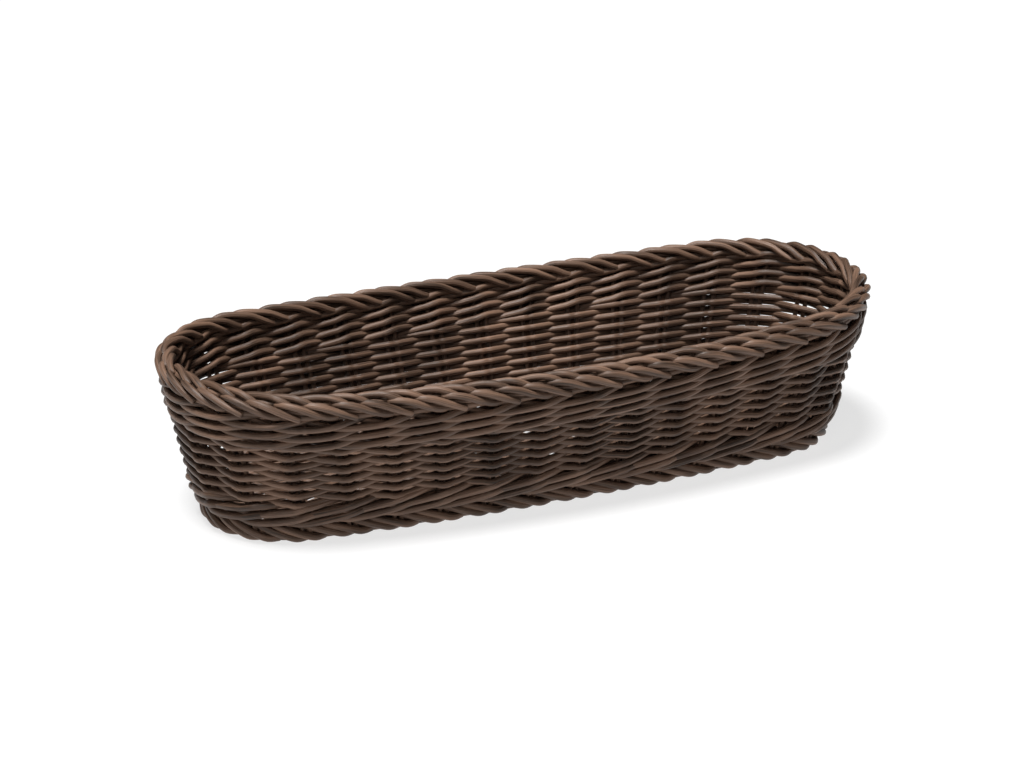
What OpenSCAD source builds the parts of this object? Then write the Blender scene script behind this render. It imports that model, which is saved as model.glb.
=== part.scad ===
// Oblong woven bread basket: stake pairs on a stick base, wound with rods, with a
// rolled foot border and a rolled rim border. Millimetres, +Z up, +X along the length.
// The origin is on the resting plane, under the middle of the basket.

/* [Overall size] */
// length of the oval that runs along the middle of the rim border
rim_length = 388; // [330:1:460]
// width of the oval that runs along the middle of the rim border
rim_width = 155; // [135:1:175]
// length of the oval along the outside of the foot border
foot_length = 359; // [310:1:420]
// width of the oval along the outside of the foot border
foot_width = 107.5; // [102:0.5:135]
// end radius of every oval, as a share of half its width
end_roundness = 0.87; // [0.75:0.01:0.93]
// height of the rim's top at the middle of the long sides
height = 84.8; // [84.6:0.1:92]
// how much higher the rim is at the two ends
end_rise = 6.3; // [0:0.1:9]

/* [Rods] */
// number of stake pairs round the side
pair_count = 33; // [29:1:35]
// diameter of one stake
stake_d = 2.6; // [2:0.1:2.8]
// distance between the two stakes of a pair
pair_gap = 4.4; // [3.5:0.1:5]
// diameter of the rods wound round the stakes
weaver_d = 2.4; // [2:0.1:2.4]
// diameter of the rods in the rim border
rim_rod_d = 3.3; // [2.6:0.1:3.6]
// diameter of the rods in the foot border
foot_rod_d = 3.6; // [3:0.1:4]

/* [Weave] */
// height of the lowest plain row
plain_start = 24; // [22:0.1:24.1]
// step from one plain row to the next
plain_pitch = 2.65; // [2.5:0.05:2.65]
// number of plain rows
plain_rows = 13; // [9:1:13]
// height of the middle of the lower wale
lower_wale_z = 12.8; // [12.6:0.1:14]
// height of the middle of the lowest row of the upper wale
upper_wale_z = 59.8; // [59.7:0.1:60]
// step from one wale row to the next
wale_pitch = 5.2; // [5.1:0.1:5.3]
// number of rows in the lower wale
lower_wale_rows = 2; // [1:1:2]
// number of rows in the upper wale
upper_wale_rows = 3; // [1:1:3]

/* [Base] */
// number of stick pairs that run across the base
cross_pairs = 11; // [9:1:13]
// number of stick pairs that run along the base
long_pairs = 5; // [3:1:5]
// diameter of the base sticks
base_stick_d = 2.8; // [2.4:0.1:3]
// distance between neighbouring rods of the base weave
base_weaver_step = 4.2; // [3.6:0.1:5]
// height of the middle of the cross sticks
base_z = 4.6; // [3:0.1:5]

/* [Foot] */
// height of the foot ring's core
foot_core_h = 8; // [6:0.5:8]
// wall thickness of the foot ring's core
foot_core_w = 4; // [3:0.5:5]

/* [Hidden] */
wale_names = [for (i = [1 : lower_wale_rows]) str("lower_wale_", i)];
upper_names = [for (i = [1 : upper_wale_rows]) str("upper_wale_", i)];
plain_names = [for (i = [1 : plain_rows]) str("weave_row_", i < 10 ? "0" : "", i)];

rod_color = [0.36, 0.27, 0.21];
stake_color = [0.30, 0.22, 0.17];
rod_sides = 5;
fine = 32;
clearance = 0.2;
oval_sides = 160;
// the stakes stand on the wall line, which leans out from the foot ring to the rim
wall_z = [8, 74];
wall_inset_foot = 2.6;
wall_inset_rim = [1.5, 1.75];
wall_foot = [foot_length - 2 * wall_inset_foot, foot_width - 2 * wall_inset_foot];
wall_top = [rim_length, rim_width] - 2 * wall_inset_rim;
layer = (stake_d + weaver_d) / 2 + clearance;
pair_step = 1 / pair_count;
pair_lap = 3.4;
wale_split = 1.45;
wale_step_out = 1.2;
// the rim rods' two ends, each as [out, up] from the middle of the border's section
rim_z = height - 6;
crest_rod = [[-3.4, -3.9], [-0.5, 4]];
outer_rod = [[2.8, 3.4], [3.8, -4]];
// how far along the basket a border rod reaches, in stake pairs
rim_lap = 0.95;
foot_lap = 0.62;
foot_rod_start = 0.25;
// the gap left between a rod's end and the face that it stands on
end_gap = 0.3;
// the foot ring's core stands this far in from the outside of the foot border
foot_inset = foot_rod_d + foot_core_w + clearance * 2.5;
inner_foot = [foot_length - 2 * foot_inset, foot_width - 2 * foot_inset];

// ---- the oval: two wide side arcs and two tight end arcs that meet smoothly ----
// size is [length, width]; t runs once round, from 0 at the +X end, seen from above

function end_r(size) = end_roundness * size[1] / 2;
function end_x(size) = size[0] / 2 - end_r(size);
function side_r(size) = (pow(end_x(size), 2) + pow(size[1] / 2, 2) - pow(end_r(size), 2))
  / (size[1] - 2 * end_r(size));
function end_angle(size) = atan2(side_r(size) - size[1] / 2, end_x(size));
function end_arc(size) = end_r(size) * end_angle(size) * PI / 180;
function quarter_length(size) = end_arc(size) + side_r(size) * (90 - end_angle(size)) * PI / 180;

// angle of the outward normal in the first quarter, d along the quarter from the +X end
function quarter_angle(size, d) = d <= end_arc(size)
  ? d / end_r(size) * 180 / PI
  : end_angle(size) + (d - end_arc(size)) / side_r(size) * 180 / PI;
function quarter_point(size, a) = a <= end_angle(size)
  ? [end_x(size) + end_r(size) * cos(a), end_r(size) * sin(a)]
  : [side_r(size) * cos(a), side_r(size) * sin(a) - side_r(size) + size[1] / 2];

function wrap(t) = t - floor(t);
function quarter(t) = floor(wrap(t) * 4);
function along(t) = let (f = wrap(t) * 4 - quarter(t)) quarter(t) % 2 == 0 ? f : 1 - f;
function signs(t) = let (q = quarter(t)) [q == 0 || q == 3 ? 1 : -1, q < 2 ? 1 : -1];
function oval_angle(size, t) = quarter_angle(size, along(t) * quarter_length(size));
function oval_point(size, t) = let (p = quarter_point(size, oval_angle(size, t)), s = signs(t))
  [p[0] * s[0], p[1] * s[1]];
function oval_normal(size, t) = let (a = oval_angle(size, t), s = signs(t))
  [cos(a) * s[0], sin(a) * s[1]];
function turns(size, mm) = mm / (4 * quarter_length(size));

// a point of the wall: t round the basket, z its height, out its distance from the stakes
function wall_point(t, z, out) =
  let (h = (z - wall_z[0]) / (wall_z[1] - wall_z[0]),
       low = oval_point(wall_foot, t),
       high = oval_point(wall_top, t),
       n = oval_normal(wall_top, t),
       c = low + (high - low) * h)
  [c[0] + n[0] * out, c[1] + n[1] * out, z + end_rise * h * pow(2 * c[0] / rim_length, 2)];

// a point of the rim border: out and up are measured from the border's middle
function rim_point(t, out, up) =
  let (size = [rim_length, rim_width], c = oval_point(size, t), n = oval_normal(size, t))
  [c[0] + n[0] * out, c[1] + n[1] * out, rim_z + up + end_rise * pow(2 * c[0] / rim_length, 2)];

// ---- shapes ----

module oval_plate(size, h) {
  linear_extrude(h)
    polygon([for (i = [0 : oval_sides - 1]) oval_point(size, i / oval_sides)]);
}

// a straight round rod from one point to another
module rod(from, to, d) {
  v = to - from;
  translate(from)
    rotate([0, acos(v[2] / norm(v)), atan2(v[1], v[0])])
      cylinder(h = norm(v), d = d, $fn = fine);
}

// a closed loop of rod through a list of points, with rod_sides flats round it
module rod_loop(points, d) {
  n = len(points);
  rim = [for (i = [0 : n - 1])
    let (a = points[(i + n - 1) % n],
         b = points[(i + 1) % n],
         run = (b - a) / norm(b - a),
         side = cross(run, [0, 0, 1]) / norm(cross(run, [0, 0, 1])),
         up = cross(side, run))
    for (k = [0 : rod_sides - 1])
      let (w = (k + 0.5) * 360 / rod_sides)
      points[i] + d / 2 * (cos(w) * side + sin(w) * up)];
  faces = [for (i = [0 : n - 1], k = [0 : rod_sides - 1])
    let (j = (i + 1) % n, m = (k + 1) % rod_sides)
    each [[i * rod_sides + k, i * rod_sides + m, j * rod_sides + m],
          [i * rod_sides + k, j * rod_sides + m, j * rod_sides + k]]];
  polyhedron(rim, faces);
}

// ---- base ----

// pairs of sticks across the base
module base_cross_sticks() {
  color(stake_color)
    for (i = [0 : cross_pairs - 1], side = [-1, 1]) {
      x = (i - (cross_pairs - 1) / 2) * inner_foot[0] / (cross_pairs + 1) + side * pair_gap / 2;
      y = inner_half_width(x);
      rod([x, -y, base_z], [x, y, base_z], base_stick_d);
    }
}

// half the clear width inside the foot ring at x
function inner_half_width(x) = abs(x) < side_r(inner_foot) * cos(end_angle(inner_foot))
  ? sqrt(pow(side_r(inner_foot), 2) - x * x) - side_r(inner_foot) + inner_foot[1] / 2
  : sqrt(max(0, pow(end_r(inner_foot), 2) - pow(abs(x) - end_x(inner_foot), 2)));

// half the clear length inside the foot ring for a lengthwise rod at y
function inner_half_length(y) =
  let (edge = abs(y) + base_stick_d / 2, r = side_r(inner_foot))
  edge <= end_r(inner_foot) * sin(end_angle(inner_foot))
    ? end_x(inner_foot) + sqrt(pow(end_r(inner_foot), 2) - edge * edge)
    : sqrt(pow(r, 2) - pow(edge + r - inner_foot[1] / 2, 2));

// the base repeats every four rods: two sticks, then two rods of the weave
base_repeat = 4 * base_weaver_step;
function base_rod_y(i, count, side) = (i - (count - 1) / 2) * base_repeat
  + side * base_weaver_step / 2;

// pairs of sticks along the base, on top of the cross sticks
module base_long_sticks() {
  color(stake_color)
    for (i = [0 : long_pairs - 1], side = [-1, 1])
      base_long_rod(base_rod_y(i, long_pairs, side));
}

module base_long_rod(y) {
  z = base_z + base_stick_d + clearance / 2;
  x = inner_half_length(y);
  rod([-x, y, z], [x, y, z], base_stick_d);
}

// rods along the base between the long sticks
module base_weavers() {
  color(rod_color)
    for (i = [0 : long_pairs], side = [-1, 1])
      base_long_rod(base_rod_y(i, long_pairs + 1, side));
}

// ---- foot border ----

// the flat ring that the stakes stand on and the basket rests on
module foot_core() {
  outer = [inner_foot[0] + 2 * foot_core_w, inner_foot[1] + 2 * foot_core_w];
  color(stake_color)
    difference() {
      oval_plate(outer, foot_core_h);
      translate([0, 0, -1]) oval_plate(inner_foot, foot_core_h + 2);
    }
}

// short rods rolled round the outside of the foot, two to each stake pair
module foot_border_rods() {
  size = [foot_length - foot_rod_d, foot_width - foot_rod_d];
  drop = [foot_core_h, foot_rod_d / 2 + end_gap];
  color(rod_color)
    for (i = [0 : 2 * pair_count - 1]) {
      t = (i + foot_rod_start) * pair_step / 2;
      a = oval_point(size, t);
      b = oval_point(size, t + foot_lap * pair_step);
      rod([a[0], a[1], drop[0]], [b[0], b[1], drop[1]], foot_rod_d);
    }
}

// ---- side ----

// the upright rods, in pairs
module side_stakes() {
  color(stake_color)
    for (i = [0 : pair_count - 1], side = [-1, 1]) {
      t = i * pair_step + side * turns(wall_top, pair_gap / 2);
      rod(wall_point(t, foot_core_h + end_gap, 0), wall_point(t, wall_z[1], 0), stake_d);
    }
}

// a plain row: one rod that passes outside one pair and inside the next; with an odd number
// of pairs it passes two neighbours on the same side, once, at the -X end
module weave_row(i) {
  z = plain_start + (i - 1) * plain_pitch;
  color(rod_color)
    rod_loop([for (k = [0 : pair_count - 1], side = [-1, 1])
      wall_point((k - floor(pair_count / 2)) * pair_step + side * turns(wall_top, pair_lap), z,
                 (k + i) % 2 == 0 ? -layer : layer)], weaver_d);
}

// a wale row: three rods that each pass outside two pairs and inside the third, always over
// the next one; on most pair counts they are one rod that runs round three times
module wale_row(z) {
  laps = pair_count % 3 == 0 ? 1 : 3;
  color(rod_color)
    for (j = [0 : laps == 1 ? 2 : 0])
      rod_loop([for (m = [0 : laps * pair_count - 1], side = [-1, 1])
        wale_point(m * pair_step, (m + j) % 3, side, z)], weaver_d);
}

// place in the wale's turn: 0 inside and sinking, 1 outside and low, 2 further out and high
function wale_point(t, place, side, z) =
  wall_point(t + side * turns(wall_top, pair_lap),
             z + (place == 0 ? -side : place == 1 ? -1 : 1) * wale_split,
             place == 0 ? -layer : place == 1 ? layer : layer + wale_step_out);

// ---- rim border ----

// rods that lean over the inside and the top of the rim, two to each stake pair
module rim_crest_rods() {
  color(rod_color)
    rim_rods(crest_rod);
}

// rods that slope down the outside of the rim, with cut ends
module rim_outer_rods() {
  color(rod_color)
    rim_rods(outer_rod);
}

// rods from one place in the border's section to another, each reaching nearly one pair on
module rim_rods(ends) {
  for (i = [0 : 2 * pair_count - 1]) {
    t = i * pair_step / 2;
    from = rim_point(t, ends[0][0], ends[0][1]);
    to = rim_point(t + rim_lap * pair_step, ends[1][0], ends[1][1]);
    rod(from, to, rim_rod_d);
  }
}

// ---- the assembly ----

base_cross_sticks();
base_long_sticks();
base_weavers();
foot_core();
foot_border_rods();
side_stakes();
for (i = [1 : lower_wale_rows])
  wale_row(lower_wale_z + (i - 1) * wale_pitch);
for (i = [1 : plain_rows])
  weave_row(i);
for (i = [1 : upper_wale_rows])
  wale_row(upper_wale_z + (i - 1) * wale_pitch);
rim_crest_rods();
rim_outer_rods();
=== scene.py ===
import math
import bmesh
import bpy
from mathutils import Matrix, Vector


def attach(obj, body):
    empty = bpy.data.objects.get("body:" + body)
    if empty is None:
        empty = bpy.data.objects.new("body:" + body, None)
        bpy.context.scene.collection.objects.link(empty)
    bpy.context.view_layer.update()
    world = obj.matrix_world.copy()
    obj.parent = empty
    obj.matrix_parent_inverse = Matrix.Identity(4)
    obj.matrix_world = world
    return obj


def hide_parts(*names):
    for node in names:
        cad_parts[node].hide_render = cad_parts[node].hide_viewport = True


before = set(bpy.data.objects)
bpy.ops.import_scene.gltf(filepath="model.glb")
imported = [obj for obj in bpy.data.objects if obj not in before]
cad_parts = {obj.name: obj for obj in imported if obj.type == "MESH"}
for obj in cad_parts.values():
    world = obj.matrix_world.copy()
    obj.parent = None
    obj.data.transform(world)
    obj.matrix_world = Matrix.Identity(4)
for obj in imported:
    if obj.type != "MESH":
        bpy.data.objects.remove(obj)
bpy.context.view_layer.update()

mm = 0.001

# ---- Side stakes ----
# The side stands on pairs of straight canes that lean out from the foot to the rim. They are
# extruded plastic cane, dark brown and satin, and everything else is wound round them.

pair_count = 33
stake_d = 2.6
stake_low = 4.0
stake_high = 76.0
stake_steps = 14
# the two stakes of a pair spread a little; the pairs stand about a pitch apart
pair_gap_low = 4.4
pair_gap_high = 6.0
pair_pitch = 28.2

# sizes of the whole basket: ovals of length and width, and heights; the line of the stakes
# is narrower than the middle of the rim and than the foot's outside by the two overhangs
end_roundness = 0.87
rim_size = (388.0, 155.0)
rim_rise = 6.3
foot_size = (359.0, 107.5)
wall_low = 8.0
wall_high = 74.0
rim_overhang = (3.0, 3.5)
foot_overhang = 5.2
wall_top = (rim_size[0] - rim_overhang[0], rim_size[1] - rim_overhang[1])
wall_foot = (foot_size[0] - foot_overhang, foot_size[1] - foot_overhang)
wall_belly = 1.2


def oval_arcs(size):
    """An oval's end radius and end centre, its side radius, and the angle where they meet."""
    length, width = size
    end_r = end_roundness * width / 2
    end_x = length / 2 - end_r
    side_r = (end_x ** 2 + (width / 2) ** 2 - end_r ** 2) / (width - 2 * end_r)
    return end_r, end_x, side_r, math.atan2(side_r - width / 2, end_x)


def oval(size, t):
    """The point and the outward direction t of the way round an oval, from its +X end."""
    end_r, end_x, side_r, turn = oval_arcs(size)
    end_arc = end_r * turn
    quarter = end_arc + side_r * (math.pi / 2 - turn)
    t = t % 1.0
    part = int(t * 4) % 4
    share = t * 4 - part if part % 2 == 0 else 1 - (t * 4 - part)
    run = share * quarter
    a = run / end_r if run <= end_arc else turn + (run - end_arc) / side_r
    if a <= turn:
        x, y = end_x + end_r * math.cos(a), end_r * math.sin(a)
    else:
        x, y = side_r * math.cos(a), side_r * math.sin(a) - side_r + size[1] / 2
    sx = 1 if part in (0, 3) else -1
    sy = 1 if part < 2 else -1
    return Vector((x * sx, y * sy)), Vector((math.cos(a) * sx, math.sin(a) * sy))


def on_wall(s, z, out):
    """A point of the side: s stake pairs from the +X end, at height z, out from the stakes."""
    t = s / pair_count
    h = (z - wall_low) / (wall_high - wall_low)
    low = oval(wall_foot, t)[0]
    high, normal = oval(wall_top, t)
    lean = math.atan((high - low).length / (wall_high - wall_low))
    belly = wall_belly * math.sin(math.pi * min(max(h, 0), 1))
    c = low.lerp(high, h) + normal * (out * math.cos(lean) + belly)
    rise = rim_rise * h * (2 * c.x / rim_size[0]) ** 2
    return Vector((c.x, c.y, z + rise - out * math.sin(lean))) * mm


class Canes:
    """A piece made of bent canes. Each is a bevelled curve turned into a mesh."""

    # how a free end is rounded: how far past the last point, and how wide there, of the radius
    tip = ((0.45, 0.45), (0.3, 0.86))
    # each cane starts further along the grain, so no two look alike
    grain_shift = 0.731

    def __init__(self):
        self.bm = bmesh.new()
        self.uv = self.bm.loops.layers.uv.new("UVMap")
        self.count = 0

    def add(self, points, d, closed=False, sides=2):
        radii = [1.0] * len(points)
        if not closed:
            first = (points[0] - points[1]).normalized() * d * mm / 2
            last = (points[-1] - points[-2]).normalized() * d * mm / 2
            widths = [width for reach, width in self.tip]
            radii = widths + radii + widths[::-1]
            points = ([points[0] + first * reach for reach, width in self.tip] + points
                      + [points[-1] + last * reach for reach, width in self.tip[::-1]])
        curve = bpy.data.curves.new("cane", "CURVE")
        curve.dimensions = "3D"
        curve.bevel_depth = d * mm / 2
        curve.bevel_resolution = sides
        curve.use_fill_caps = not closed
        spline = curve.splines.new("POLY")
        spline.points.add(len(points) - 1)
        for p, co, r in zip(spline.points, points, radii):
            p.co = (*co, 1.0)
            p.radius = r
        spline.use_cyclic_u = closed
        shape = bpy.data.objects.new("cane", curve)
        mesh = bpy.data.meshes.new_from_object(shape)
        length = sum((q - p).length for p, q in zip(points, points[1:]))
        before = len(self.bm.faces)
        self.bm.from_mesh(mesh)
        self.bm.faces.ensure_lookup_table()
        start = self.count * self.grain_shift
        for face in self.bm.faces[before:]:
            face.smooth = True
            for loop in face.loops:
                u, v = loop[self.uv].uv
                loop[self.uv].uv = (start + u * length, v)
        self.count += 1
        bpy.data.objects.remove(shape)
        bpy.data.curves.remove(curve)
        bpy.data.meshes.remove(mesh)

    def piece(self, name, material, node):
        mesh = bpy.data.meshes.new(name)
        bmesh.ops.recalc_face_normals(self.bm, faces=self.bm.faces)
        self.bm.to_mesh(mesh)
        self.bm.free()
        mesh.materials.append(material)
        obj = bpy.data.objects.new(name, mesh)
        bpy.context.scene.collection.objects.link(obj)
        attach(obj, "root")
        if node:
            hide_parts(node)


class Value:
    """A shader value. The usual signs add Math nodes, and node() adds any other node."""

    def __init__(self, tree, socket=None):
        self.tree = tree
        self.socket = socket

    def node(self, kind, inputs=(), output=0, **settings):
        made = self.tree.nodes.new(kind)
        for key, setting in settings.items():
            if key == "stops":
                for stop, (place, colour) in zip(made.color_ramp.elements, setting):
                    stop.position = place
                    stop.color = (*colour, 1.0)
            else:
                setattr(made, key, setting)
        for key, given in dict(inputs).items():
            if isinstance(given, Value):
                self.tree.links.new(given.socket, made.inputs[key])
            else:
                made.inputs[key].default_value = given
        return Value(self.tree, made.outputs[output])

    def maths(self, operation, a, b=0.0):
        return self.node("ShaderNodeMath", {0: a, 1: b}, operation=operation)

    def __add__(self, other):
        return self.maths("ADD", self, other)

    def __mul__(self, other):
        return self.maths("MULTIPLY", self, other)

    __radd__ = __add__
    __rmul__ = __mul__


def cane(name, dark, light, roughness):
    """Extruded plastic cane: fine lines along its length, slow changes of tone, satin."""
    material = bpy.data.materials.new(name)
    material.use_nodes = True
    tree = material.node_tree
    shader = tree.nodes["Principled BSDF"]
    graph = Value(tree)
    place = graph.node("ShaderNodeTexCoord", output=2)
    along = graph.node("ShaderNodeSeparateXYZ", {0: place}, output=0)
    turn = graph.node("ShaderNodeSeparateXYZ", {0: place}, output=1) * (2 * math.pi)
    ring_x = graph.maths("COSINE", turn)
    ring_y = graph.maths("SINE", turn)

    def grain(per_metre, across, detail):
        at = graph.node("ShaderNodeCombineXYZ",
                        {0: along * per_metre, 1: ring_x * across, 2: ring_y * across})
        return graph.node("ShaderNodeTexNoise", {"Vector": at, "Scale": 1.0, "Detail": detail})

    lines = grain(per_metre=60.0, across=4.2, detail=2.0)
    tone = grain(per_metre=28.0, across=0.35, detail=1.0)
    shade = lines * 0.8 + tone * 0.7 + (-0.25)
    colour = graph.node("ShaderNodeValToRGB", {0: shade}, stops=[(0.28, dark), (0.72, light)])
    dull = lines * 0.22 + (roughness - 0.11)
    bump = graph.node("ShaderNodeBump", {"Strength": 0.7, "Distance": 0.0004, "Height": lines})
    tree.links.new(colour.socket, shader.inputs["Base Color"])
    tree.links.new(dull.socket, shader.inputs["Roughness"])
    tree.links.new(bump.socket, shader.inputs["Normal"])
    shader.inputs["Specular IOR Level"].default_value = 0.28
    return material


stake_cane = cane("stake cane", (0.026, 0.015, 0.010), (0.176, 0.104, 0.070), 0.48)

stakes = Canes()
for k in range(pair_count):
    for side in (-1, 1):
        points = []
        for step in range(stake_steps + 1):
            z = stake_low + (stake_high - stake_low) * step / stake_steps
            h = (z - wall_low) / (wall_high - wall_low)
            gap = pair_gap_low + (pair_gap_high - pair_gap_low) * h
            points.append(on_wall(k + side * gap / 2 / pair_pitch, z, 0))
        stakes.add(points, stake_d)
stakes.piece("side_stake_pairs", stake_cane, "side_stakes")

# ---- Plain weave ----
# One thinner rod a row, that passes outside one pair of stakes and inside the next. The
# rows are beaten down on each other, and neighbouring rows pass on opposite sides.

plain_d = 3.4
plain_rows = 13
plain_start = 23.7
plain_pitch = 2.78
plain_layer = 2.5
plain_bulge = 0.7
plain_hug = 0.15
plain_steps = 5

weaver_cane = cane("weaver cane", (0.024, 0.014, 0.009), (0.188, 0.111, 0.074), 0.46)


def smooth(keys, steps, closed=False):
    """Rows of numbers that pass smoothly through the keys, with that many steps between two."""
    n = len(keys)
    rows = []
    for i in range(n if closed else n - 1):
        if closed:
            p = [keys[(i + j) % n] for j in (-1, 0, 1, 2)]
        else:
            p = [keys[min(max(i + j, 0), n - 1)] for j in (-1, 0, 1, 2)]
        for k in range(steps):
            f = k / steps
            rows.append([((2 * b) + (c - a) * f + (2 * a - 5 * b + 4 * c - d) * f * f
                          + (3 * b - a - 3 * c + d) * f ** 3) / 2 for a, b, c, d in zip(*p)])
    return rows if closed else rows + [list(keys[-1])]


def round_side(keys, steps):
    """A closed rod round the side, through keys of place in stake pairs, height and out."""
    bends = smooth([(z, out) for s, z, out in keys], steps, closed=True)
    starts = [s for s, z, out in keys]
    stops = starts[1:] + [starts[0] + pair_count]
    places = [a + (b - a) * i / steps for a, b in zip(starts, stops) for i in range(steps)]
    return [on_wall(s, z, out) for s, (z, out) in zip(places, bends)]


for row in range(1, plain_rows + 1):
    z = plain_start + (row - 1) * plain_pitch
    keys = []
    for k in range(pair_count):
        s = k - pair_count // 2
        outside = (k + row) % 2
        out = plain_layer if outside else -plain_layer
        bulge = plain_bulge if outside else 0.0
        keys.append((s - plain_hug, z, out))
        keys.append((s, z - bulge / 2, out + bulge))
        keys.append((s + plain_hug, z, out))
    weave = Canes()
    weave.add(round_side(keys, plain_steps), plain_d, closed=True)
    weave.piece(f"plain_weave_row_{row:02d}", weaver_cane, f"weave_row_{row:02d}")

# ---- Upper and lower wale ----
# Three rods twisted round the stakes together: each passes outside two pairs and inside the
# third, always over the next rod. The lower wale is of thicker rods, laid steeper.

wale_steps = 4

# a rod's turn takes three pairs: inside, outside and low, then outside and high; each pair
# has two keys of place in stake pairs, height and out
upper_d = 3.6
upper_start = 59.6
upper_pitch = 5.2
upper_rows = 3
upper_turn = [
    [(-0.14, 2.1, -2.4), (0.14, 0.7, -2.6)],
    [(-0.2, -1.1, 2.2), (0.16, -1.9, 3.9)],
    [(-0.16, -0.4, 4.7), (0.2, 1.4, 3.6)],
]
# the last row is hidden outside by the rim border and seen only from inside
hidden_z = 74.6
hidden_turn = [
    [(-0.14, 2.0, -2.4), (0.14, 0.4, -2.6)],
    [(-0.16, -0.8, 0.6), (0.14, -1.2, 1.6)],
    [(-0.14, 0.0, 1.8), (0.16, 1.6, 1.2)],
]
lower_d = 3.8
lower_start = 14.6
lower_pitch = 4.9
lower_rows = 2
lower_turn = [
    [(-0.12, 2.0, -2.6), (0.12, -1.2, -2.6)],
    [(-0.16, -2.6, 1.6), (0.14, -2.0, 3.0)],
    [(-0.14, 0.8, 3.8), (0.16, 3.0, 3.8)],
]


def wale(name, node, z, d, turn):
    """One row of wale: its three rods follow the same turn, one pair apart."""
    row = Canes()
    for rod in range(len(turn)):
        keys = []
        for k in range(pair_count):
            keys += [(k + ds, z + dz, out) for ds, dz, out in turn[(k + rod) % len(turn)]]
        row.add(round_side(keys, wale_steps), d, closed=True)
    row.piece(name, weaver_cane, node)


for row in range(1, upper_rows + 1):
    z = upper_start + (row - 1) * upper_pitch
    wale(f"upper_wale_row_{row}", f"upper_wale_{row}", z, upper_d, upper_turn)
wale("upper_wale_row_4", None, hidden_z, upper_d, hidden_turn)
for row in range(1, lower_rows + 1):
    z = lower_start + (row - 1) * lower_pitch
    wale(f"lower_wale_row_{row}", f"lower_wale_{row}", z, lower_d, lower_turn)

# ---- Foot border ----
# The lower ends of the stakes are bent along the foot as a bundle and rolled over one
# another, so the basket stands on a rope of short strokes, two to each pair of stakes.

bundle_d = 3.0
bundle_rods = ((5.6, 1.6), (8.4, 1.6), (5.6, 4.6), (8.4, 4.6), (7.0, 7.2))
bundle_points = 240

bundle = Canes()
for inset, z in bundle_rods:
    size = (foot_size[0] - 2 * inset, foot_size[1] - 2 * inset)
    ring = []
    for i in range(bundle_points):
        c = oval(size, i / bundle_points)[0]
        ring.append(Vector((c.x, c.y, z)) * mm)
    bundle.add(ring, bundle_d, closed=True)
bundle.piece("foot_bundle", stake_cane, "foot_core")

# a stroke's keys of place in stake pairs, height and out; the first of a pair starts higher
foot_d = 4.0
foot_second = 0.39
foot_lift = (0.5, 0.0)
foot_start = [(-0.2, 9.6, -3.0), (0.04, 8.8, -0.4)]
foot_end = [(0.3, 6.8, 0.5), (0.6, 4.2, 0.6), (0.84, 2.3, 0.0), (1.06, 2.1, -2.6)]
foot_line = (foot_size[0] - foot_d, foot_size[1] - foot_d)
stroke_steps = 4


def strokes(second):
    """The start of every stroke of a border, and whether it is a pair's first or second."""
    return [(k + (0.0, second)[order], order) for k in range(pair_count) for order in (0, 1)]


foot = Canes()
for s, order in strokes(foot_second):
    keys = [(ds, z + foot_lift[order], out) for ds, z, out in foot_start] + foot_end
    points = []
    for ds, z, out in smooth(keys, stroke_steps):
        c, normal = oval(foot_line, (s + ds) / pair_count)
        c = c + normal * out
        points.append(Vector((c.x, c.y, z)) * mm)
    foot.add(points, foot_d, sides=3)
foot.piece("foot_border_strokes", weaver_cane, "foot_border_rods")

# ---- Rim border ----
# The upper ends of the stakes are rolled into a border: each comes up inside, lies along
# the top and dives over the side, and ends outside in a slanted stroke with a cut tip.

rim_d = 3.6
rim_mid = 78.8


def on_rim(s, out, up):
    """A point of the border: s stake pairs from the +X end, out and up from its middle."""
    c, normal = oval(rim_size, s / pair_count)
    c = c + normal * out
    return Vector((c.x, c.y, rim_mid + up + rim_rise * (2 * c.x / rim_size[0]) ** 2)) * mm


def rim_stroke(s, keys):
    return [on_rim(s + ds, out, up) for ds, out, up in smooth(keys, stroke_steps)]


crest_second = 0.39
crest_keys = [
    (-0.18, -1.2, -4.4), (-0.02, -3.0, -3.4), (0.2, -4.0, -0.6), (0.42, -3.4, 2.4),
    (0.66, -2.6, 3.8), (0.86, -1.2, 4.3), (1.0, 0.2, 4.1), (1.12, 1.0, 3.0), (1.24, 1.2, 1.2),
]
# the bent ends that fill the border's middle run on under the strokes
filling_d = 2.8
filling_rods = ((-1.4, -1.6), (1.2, -2.6), (-0.6, 0.6))
filling_steps = 8

crest = Canes()
for s, order in strokes(crest_second):
    crest.add(rim_stroke(s, crest_keys), rim_d, sides=3)
for out, up in filling_rods:
    ring = [on_rim(i / filling_steps, out, up) for i in range(filling_steps * pair_count)]
    crest.add(ring, filling_d, closed=True)
crest.piece("rim_crest_strokes", weaver_cane, "rim_crest_rods")

outer_second = 0.45
outer_start = [(0.02, 0.2, 0.6), (0.18, 2.7, 1.5), (0.4, 3.9, 0.5), (0.62, 3.7, -2.0)]
outer_ends = (
    [(0.82, 2.8, -4.2), (0.96, 1.7, -5.4), (1.06, 0.4, -5.8)],
    [(0.82, 3.2, -4.3), (0.96, 3.0, -5.7)],
)

outer = Canes()
for s, order in strokes(outer_second):
    outer.add(rim_stroke(s, outer_start + outer_ends[order]), rim_d, sides=3)
outer.piece("rim_outer_strokes", weaver_cane, "rim_outer_rods")

# ---- Base ----
# Pairs of sticks lie across and along the bottom with their ends tucked into the foot, and
# rods are woven lengthwise over and under the cross pairs. All are the same brown cane.

base_d = 2.8
base_z = 4.6
foot_thick = 8.1
inner = (foot_size[0] - 2 * foot_thick, foot_size[1] - 2 * foot_thick)
inner_end_r, inner_end_x, inner_side_r, inner_turn = oval_arcs(inner)
stick_tuck = 1.0


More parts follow.
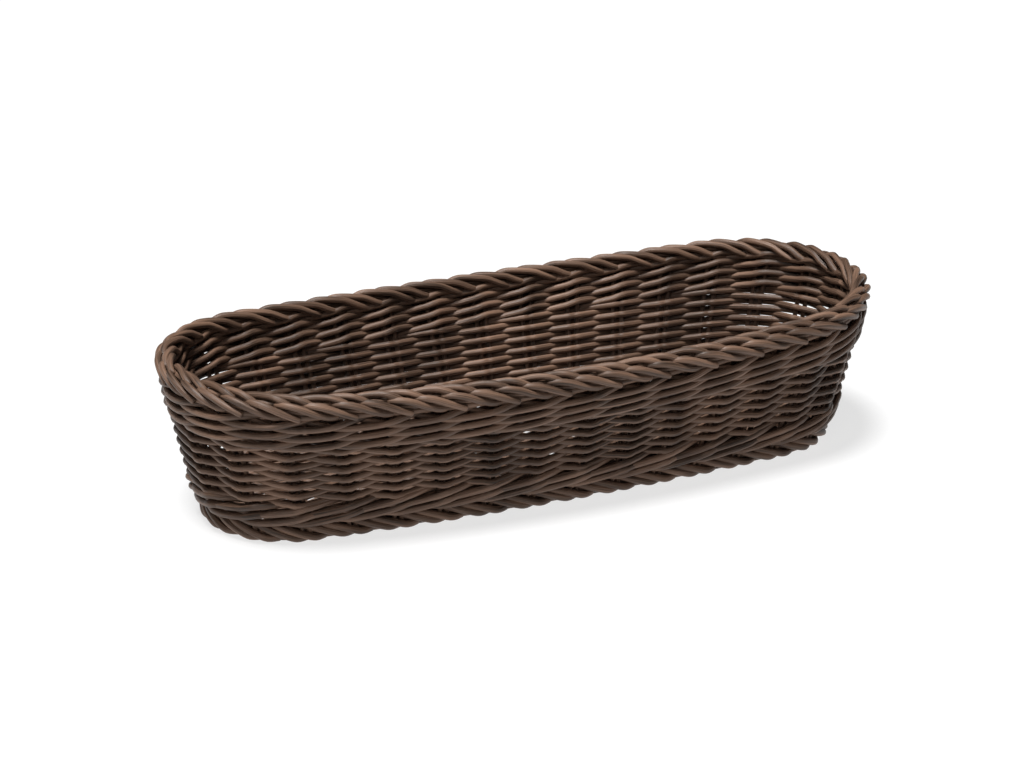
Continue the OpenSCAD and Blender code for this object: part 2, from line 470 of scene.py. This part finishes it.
def inner_half_width(x):
    """Half the clear width inside the foot at x."""
    if abs(x) < inner_side_r * math.cos(inner_turn):
        return math.sqrt(inner_side_r ** 2 - x * x) - inner_side_r + inner[1] / 2
    return math.sqrt(max(0.0, inner_end_r ** 2 - (abs(x) - inner_end_x) ** 2))


def inner_half_length(y):
    """Half the clear length inside the foot for a lengthwise rod at y."""
    edge = abs(y) + base_d / 2
    if edge <= inner_end_r * math.sin(inner_turn):
        return inner_end_x + math.sqrt(inner_end_r ** 2 - edge ** 2)
    return math.sqrt(inner_side_r ** 2 - (edge + inner_side_r - inner[1] / 2) ** 2)


cross_pairs = 11
cross_step = inner[0] / (cross_pairs + 1)
cross_steps = 16
cross = Canes()
for i in range(cross_pairs):
    for side in (-1, 1):
        x = (i - (cross_pairs - 1) / 2) * cross_step + side * pair_gap_low / 2
        y = inner_half_width(x) + stick_tuck
        points = []
        for j in range(cross_steps + 1):
            points.append(Vector((x, y * (2 * j / cross_steps - 1), base_z)) * mm)
        cross.add(points, base_d)
cross.piece("base_cross_stick_pairs", stake_cane, "base_cross_sticks")

long_pairs = 5
long_step = 16.8
long_gap = 3.2
long_steps = 40
long = Canes()
for i in range(long_pairs):
    for side in (-1, 1):
        y = (i - (long_pairs - 1) / 2) * long_step + side * long_gap / 2
        x = inner_half_length(y) + stick_tuck
        points = []
        for j in range(long_steps + 1):
            points.append(Vector((x * (2 * j / long_steps - 1), y, base_z + base_d)) * mm)
        long.add(points, base_d)
long.piece("base_long_stick_pairs", stake_cane, "base_long_sticks")

# four woven rods lie between two long pairs, and fewer at the edges, where there is no room
base_weaver_d = 2.7
base_weaver_step = 3.1
base_weaver_z = 5.0
base_weaver_wave = 2.3
base_weaver_tuck = 0.5
base_weaver_steps = 96
edge_room = 4.0
weave = Canes()
for i in range(long_pairs + 1):
    for place in (-1.5, -0.5, 0.5, 1.5):
        y = (i - long_pairs / 2) * long_step + place * base_weaver_step
        if abs(y) > inner[1] / 2 - edge_room:
            continue
        half = inner_half_length(y) + base_weaver_tuck
        flip = 1 if weave.count % 2 else -1
        points = []
        for j in range(base_weaver_steps + 1):
            x = half * (2 * j / base_weaver_steps - 1)
            z = base_weaver_z + flip * base_weaver_wave * math.cos(math.pi * x / cross_step)
            points.append(Vector((x, y, z)) * mm)
        weave.add(points, base_weaver_d)
weave.piece("base_weave", weaver_cane, "base_weavers")

# ---- Floor, light and camera ----
# A plain pale floor that shows only a faint shadow, under one large soft light from above
# and a weak one from the front left. The camera looks down on a long side from its left.

floor_half = 6.0
floor_mesh = bpy.data.meshes.new("floor")
bm = bmesh.new()
bmesh.ops.create_grid(bm, x_segments=1, y_segments=1, size=floor_half)
bm.to_mesh(floor_mesh)
bm.free()
floor = bpy.data.objects.new("floor", floor_mesh)
bpy.context.scene.collection.objects.link(floor)
pale = bpy.data.materials.new("pale floor")
pale.use_nodes = True
paint = pale.node_tree.nodes["Principled BSDF"].inputs
paint["Base Color"].default_value = (0.2, 0.2, 0.2, 1)
paint["Roughness"].default_value = 0.3
paint["Emission Color"].default_value = (1, 1, 1, 1)
paint["Emission Strength"].default_value = 0.72
floor_mesh.materials.append(pale)

world = bpy.data.worlds.new("studio")
bpy.context.scene.world = world
world.use_nodes = True
world.node_tree.nodes["Background"].inputs["Color"].default_value = (1, 1, 1, 1)
world.node_tree.nodes["Background"].inputs["Strength"].default_value = 0.05


def soft_sun(name, toward, angle, strength):
    light = bpy.data.lights.new(name, "SUN")
    light.angle = math.radians(angle)
    light.energy = strength
    lamp = bpy.data.objects.new(name, light)
    lamp.rotation_euler = Vector(toward).to_track_quat("-Z", "Y").to_euler()
    bpy.context.scene.collection.objects.link(lamp)
    return lamp


top_light = soft_sun("overhead softbox", (0.2, 0.12, -1.0), 16, 6.2)
side_light = soft_sun("front softbox", (0.7, 0.9, -0.8), 20, 0.5)

azimuth = math.radians(-24.24)
elevation = math.radians(22.92)
distance = 1.7703
back = Vector((math.sin(azimuth) * math.cos(elevation),
               -math.cos(azimuth) * math.cos(elevation), math.sin(elevation)))
lens = bpy.data.cameras.new("camera")
lens.sensor_width = 36.0
lens.lens = 115.8
lens.shift_x = -0.0103
lens.shift_y = 0.0811
camera = bpy.data.objects.new("camera", lens)
camera.location = back * distance
camera.rotation_euler = (-back).to_track_quat("-Z", "Y").to_euler()
bpy.context.scene.collection.objects.link(camera)
bpy.context.scene.camera = camera
bpy.context.scene.view_settings.view_transform = "Standard"
